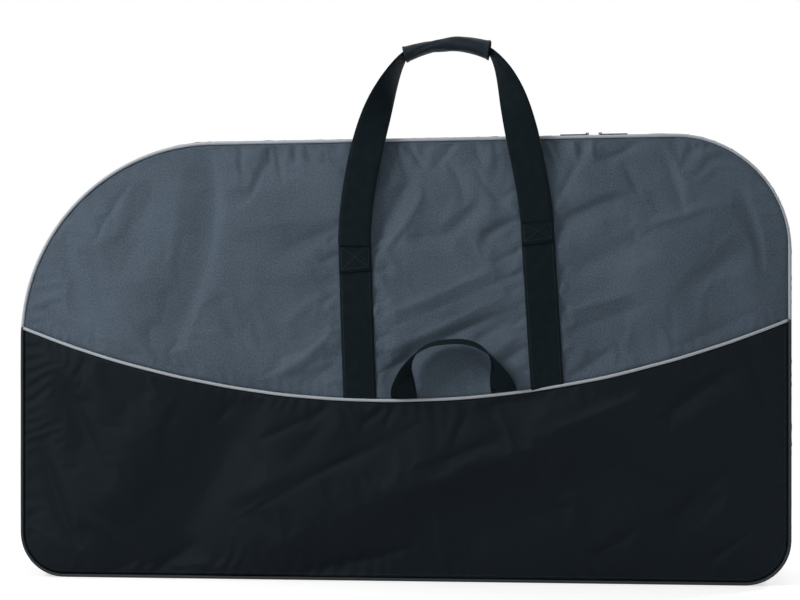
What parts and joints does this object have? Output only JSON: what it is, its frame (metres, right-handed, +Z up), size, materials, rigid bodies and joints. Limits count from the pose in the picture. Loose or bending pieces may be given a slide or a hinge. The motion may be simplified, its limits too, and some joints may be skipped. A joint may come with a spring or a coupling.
{
  "type": "bike travel bag",
  "caption": "Soft padded travel bag for one bike: crowned front and back, a front that unzips and folds down, carry loops, a grab loop and inner wheel pockets.",
  "frame": {"origin": "middle of the base's underside, on the floor", "axes": "+X along the bag's length, to the right seen from the front; +Y through its depth, towards the back; +Z up"},
  "size_m": [1.2, 0.4138, 0.8377],
  "materials": {
    "grey_polyester": "woven, matt",
    "black_polyester": "woven, slight sheen",
    "black_webbing": "ribbed weave",
    "grip_cloth": "woven, matt",
    "light_piping": "satin tape",
    "black_piping": "satin tape",
    "foam": "closed cell foam",
    "lining": "plain weave",
    "stiffener_board": "pressed sheet",
    "zip_tape": "herringbone tape",
    "slider_metal": "black paint on zinc"
  },
  "bodies": {
    "bag": {"base_panel": "black_polyester", "base_board": "stiffener_board", "gusset": "grey_polyester", "gusset_padding": "foam", "gusset_lining": "lining", "rear_zip_tape": "zip_tape", "rear_upper_panel": "grey_polyester", "rear_lower_panel": "black_polyester", "rear_seam_piping": "light_piping", "rear_edge_piping": "light_piping", "rear_hem_piping": "black_piping", "rear_padding": "foam", "rear_lining": "lining", "rear_strap_left": "black_webbing", "rear_strap_right": "black_webbing", "rear_stitch_patch_left": "black_webbing", "rear_stitch_patch_right": "black_webbing", "rear_wheel_pocket": "lining"},
    "door": {"front_upper_panel": "grey_polyester", "front_lower_panel": "black_polyester", "front_seam_piping": "light_piping", "front_edge_piping": "light_piping", "front_hem_piping": "black_piping", "front_padding": "foam", "front_lining": "lining", "front_gusset": "grey_polyester", "front_zip_tape": "zip_tape", "front_strap_left": "black_webbing", "front_strap_right": "black_webbing", "front_stitch_patch_left": "black_webbing", "front_stitch_patch_right": "black_webbing", "front_wheel_pocket": "lining"},
    "front_loop": {"front_handle": "black_webbing", "front_grip": "grip_cloth"},
    "rear_loop": {"rear_handle": "black_webbing", "rear_grip": "grip_cloth"},
    "grab_loop": {"front_grab_handle": "black_webbing"},
    "slider_left": {"slider_left": "slider_metal"},
    "slider_right": {"slider_right": "slider_metal"},
    "pull_left": {"pull_left": "slider_metal"},
    "pull_right": {"pull_right": "slider_metal"}
  },
  "joints": [
    {"name": "door_fold", "type": "hinge", "parent": "bag", "child": "door", "pos_m": [0, -0.12, 0.003], "axis": [1, 0, 0], "range_deg": [0, 80]},
    {"name": "front_loop_swing", "type": "hinge", "parent": "door", "child": "front_loop", "pos_m": [0.07325, -0.14189, 0.543], "axis": [0.9918, 0.0072, 0.1273], "range_deg": [0, 155]},
    {"name": "rear_loop_swing", "type": "hinge", "parent": "bag", "child": "rear_loop", "pos_m": [0.07325, 0.14197, 0.543], "axis": [1, 0.0006, 0], "range_deg": [0, 165]},
    {"name": "grab_loop_swing", "type": "hinge", "parent": "door", "child": "grab_loop", "pos_m": [0.08585, -0.1397, 0.2924], "axis": [0.9977, 0, 0.0685], "range_deg": [0, 115]},
    {"name": "slider_left_run", "type": "slide", "parent": "bag", "child": "slider_left", "axis": [-1, 0, -0.01], "range_m": [0, 0.55]},
    {"name": "slider_right_run", "type": "slide", "parent": "bag", "child": "slider_right", "axis": [1, 0, 0.01], "range_m": [0, 0.1]},
    {"name": "pull_left_flip", "type": "hinge", "parent": "slider_left", "child": "pull_left", "pos_m": [0.28997, -0.0832, 0.69265], "axis": [0, 1, 0], "range_deg": [0, 150]},
    {"name": "pull_right_flip", "type": "hinge", "parent": "slider_right", "child": "pull_right", "pos_m": [0.30997, -0.0832, 0.69285], "axis": [0, -1, 0], "range_deg": [0, 150]}
  ]
}
